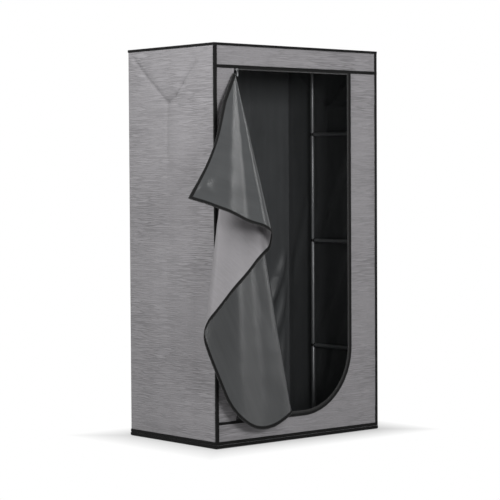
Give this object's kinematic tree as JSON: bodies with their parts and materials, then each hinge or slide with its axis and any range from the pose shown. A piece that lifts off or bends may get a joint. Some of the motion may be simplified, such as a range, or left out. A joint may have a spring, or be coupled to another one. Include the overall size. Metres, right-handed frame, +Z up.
{
  "type": "portable fabric wardrobe",
  "caption": "Tall fabric wardrobe with a plug-together tube frame and a zipped front door that is open and hangs folded from the top of its zip.",
  "frame": {"origin": "underside of the floor panel, at the middle of the footprint of the cover", "axes": "+Z up, +X along the front to the right as seen from outside, +Y from the front to the back"},
  "size_m": [1.1298, 0.8503, 1.6],
  "materials": {
    "fabric": "embossed non-woven, matt",
    "coated_fabric": "silver-grey coated inner face, soft sheen",
    "binding": "woven tape, matt",
    "zip_tape": "woven tape, matt",
    "tube": "grey powder coat",
    "moulding": "moulded, matt",
    "zip_metal": "die-cast, plated"
  },
  "bodies": {
    "wardrobe": {"bottom_front_tube": "tube", "bottom_back_tube": "tube", "bottom_left_tube": "tube", "bottom_right_tube": "tube", "top_front_tube": "tube", "top_back_tube": "tube", "top_left_tube": "tube", "top_right_tube": "tube", "front_left_post_1": "tube", "front_left_post_2": "tube", "front_left_post_3": "tube", "front_left_post_4": "tube", "front_right_post_1": "tube", "front_right_post_2": "tube", "front_right_post_3": "tube", "front_right_post_4": "tube", "rear_left_post_1": "tube", "rear_left_post_2": "tube", "rear_left_post_3": "tube", "rear_left_post_4": "tube", "rear_right_post_1": "tube", "rear_right_post_2": "tube", "rear_right_post_3": "tube", "rear_right_post_4": "tube", "hanging_rail": "tube", "left_low_rung": "tube", "left_middle_rung": "tube", "left_high_rung": "tube", "right_low_rung": "tube", "right_middle_rung": "tube", "right_high_rung": "tube", "bottom_front_left_corner": "moulding", "bottom_front_right_corner": "moulding", "bottom_back_left_corner": "moulding", "bottom_back_right_corner": "moulding", "top_front_left_corner": "moulding", "top_front_right_corner": "moulding", "top_back_left_corner": "moulding", "top_back_right_corner": "moulding", "bottom_left_post_sleeve": "moulding", "bottom_right_post_sleeve": "moulding", "top_left_post_sleeve": "moulding", "top_right_post_sleeve": "moulding", "left_rail_hanger": "moulding", "right_rail_hanger": "moulding", "roof_panel": "fabric", "back_panel": "fabric", "left_side_panel": "fabric", "right_side_panel": "fabric", "header_strip": "fabric", "front_panel": "fabric", "floor_panel": "coated_fabric", "edge_binding": "binding", "base_hem": "binding", "zip_tape": "zip_tape"},
    "door": {"door_flap": "coated_fabric", "door_trim": "binding"},
    "slider": {"zip_slider": "zip_metal"},
    "pull": {"zip_pull": "zip_metal"}
  },
  "joints": [
    {"name": "door_swing", "type": "hinge", "parent": "wardrobe", "child": "door", "pos_m": [-0.343, -0.2788, 0.8], "axis": [0, 0, 1], "range_deg": [-14, 0]},
    {"name": "zip_slide", "type": "slide", "parent": "wardrobe", "child": "slider", "axis": [1, 0, 0], "range_m": [0, 0.58]},
    {"name": "pull_lift", "type": "hinge", "parent": "slider", "child": "pull", "pos_m": [-0.329, -0.2812, 1.4987], "axis": [-1, 0, 0], "range_deg": [0, 165]}
  ]
}
